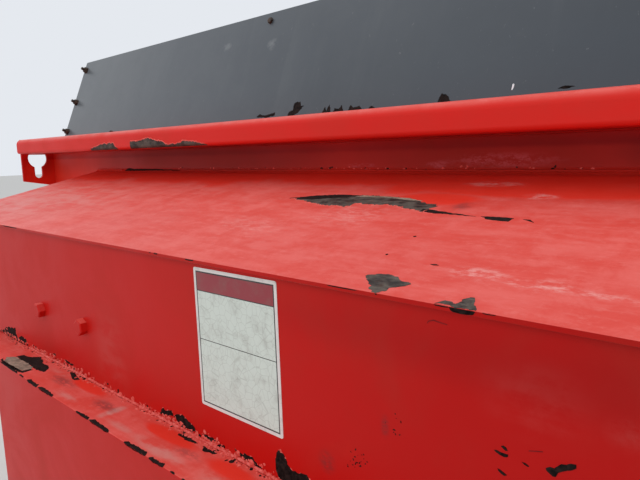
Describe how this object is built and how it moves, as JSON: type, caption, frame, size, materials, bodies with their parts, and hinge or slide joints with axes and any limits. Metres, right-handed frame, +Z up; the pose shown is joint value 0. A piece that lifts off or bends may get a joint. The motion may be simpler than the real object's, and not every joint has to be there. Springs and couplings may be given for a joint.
{
  "type": "manure spreader hopper with twin augers",
  "caption": "Open-topped steel manure spreader hopper with sloping shoulders, guard boards, twin augers and a side expeller with a sliding door.",
  "frame": {"origin": "centre of the four mounting holes, on the underside of the two sills", "axes": "+X towards the drive end (the front), +Y towards the discharge side (the left), +Z up"},
  "size_m": [3.936, 2.262, 1.7516],
  "materials": {
    "red_paint": "glossy, chipped",
    "dark_paint": "satin, scratched",
    "worn_steel": "worn",
    "cast_iron": "rough",
    "chrome_rod": "polished"
  },
  "bodies": {
    "hopper": {"sill_left": "red_paint", "sill_right": "red_paint", "sill_ties": "red_paint", "bolster_1": "red_paint", "bolster_2": "red_paint", "bolster_3": "red_paint", "bolster_4": "red_paint", "bolster_5": "red_paint", "trough_left": "red_paint", "trough_right": "red_paint", "ridge_cap": "worn_steel", "end_wall_front": "red_paint", "end_wall_rear": "red_paint", "flare_front": "red_paint", "flare_rear": "red_paint", "side_sheet_left": "red_paint", "side_sheet_right": "red_paint", "shoulder_left": "red_paint", "shoulder_right": "red_paint", "skirt_left": "red_paint", "skirt_right": "red_paint", "rail_left": "red_paint", "rail_right": "red_paint", "rail_front": "red_paint", "rail_rear": "red_paint", "cross_tie": "red_paint", "keyhole_ears": "red_paint", "guard_left": "dark_paint", "guard_right": "dark_paint", "guard_front": "dark_paint", "guard_rear": "dark_paint", "auger_bearings": "cast_iron", "expeller_housing": "red_paint", "expeller_bearings": "cast_iron", "door_frame": "red_paint", "door_cylinder": "dark_paint", "drive_guard": "dark_paint", "gearbox": "cast_iron"},
    "auger_left": {"auger_left": "worn_steel"},
    "auger_right": {"auger_right": "worn_steel"},
    "expeller": {"expeller_rotor": "worn_steel"},
    "door": {"discharge_door": "red_paint", "door_rod": "chrome_rod"},
    "input": {"input_shaft": "worn_steel"}
  },
  "joints": [
    {"name": "auger_right_turn", "type": "hinge", "parent": "hopper", "child": "auger_right", "pos_m": [0, -0.285, 0.45], "axis": [1, 0, 0], "continuous": true},
    {"name": "auger_left_turn", "type": "hinge", "parent": "hopper", "child": "auger_left", "pos_m": [0, 0.285, 0.45], "axis": [1, 0, 0], "continuous": true},
    {"name": "expeller_turn", "type": "hinge", "parent": "hopper", "child": "expeller", "pos_m": [1.269, 0.79012, 0.5602], "axis": [1, 0, 0], "continuous": true},
    {"name": "input_turn", "type": "hinge", "parent": "hopper", "child": "input", "pos_m": [1.9, 0, 0.64], "axis": [1, 0, 0], "continuous": true},
    {"name": "door_slide", "type": "slide", "parent": "hopper", "child": "door", "axis": [0, 0, 1], "range_m": [-0.235, 0]}
  ],
  "couplings": [
    {"joint": "auger_left_turn", "follows": "auger_right_turn", "ratio": -1}
  ]
}
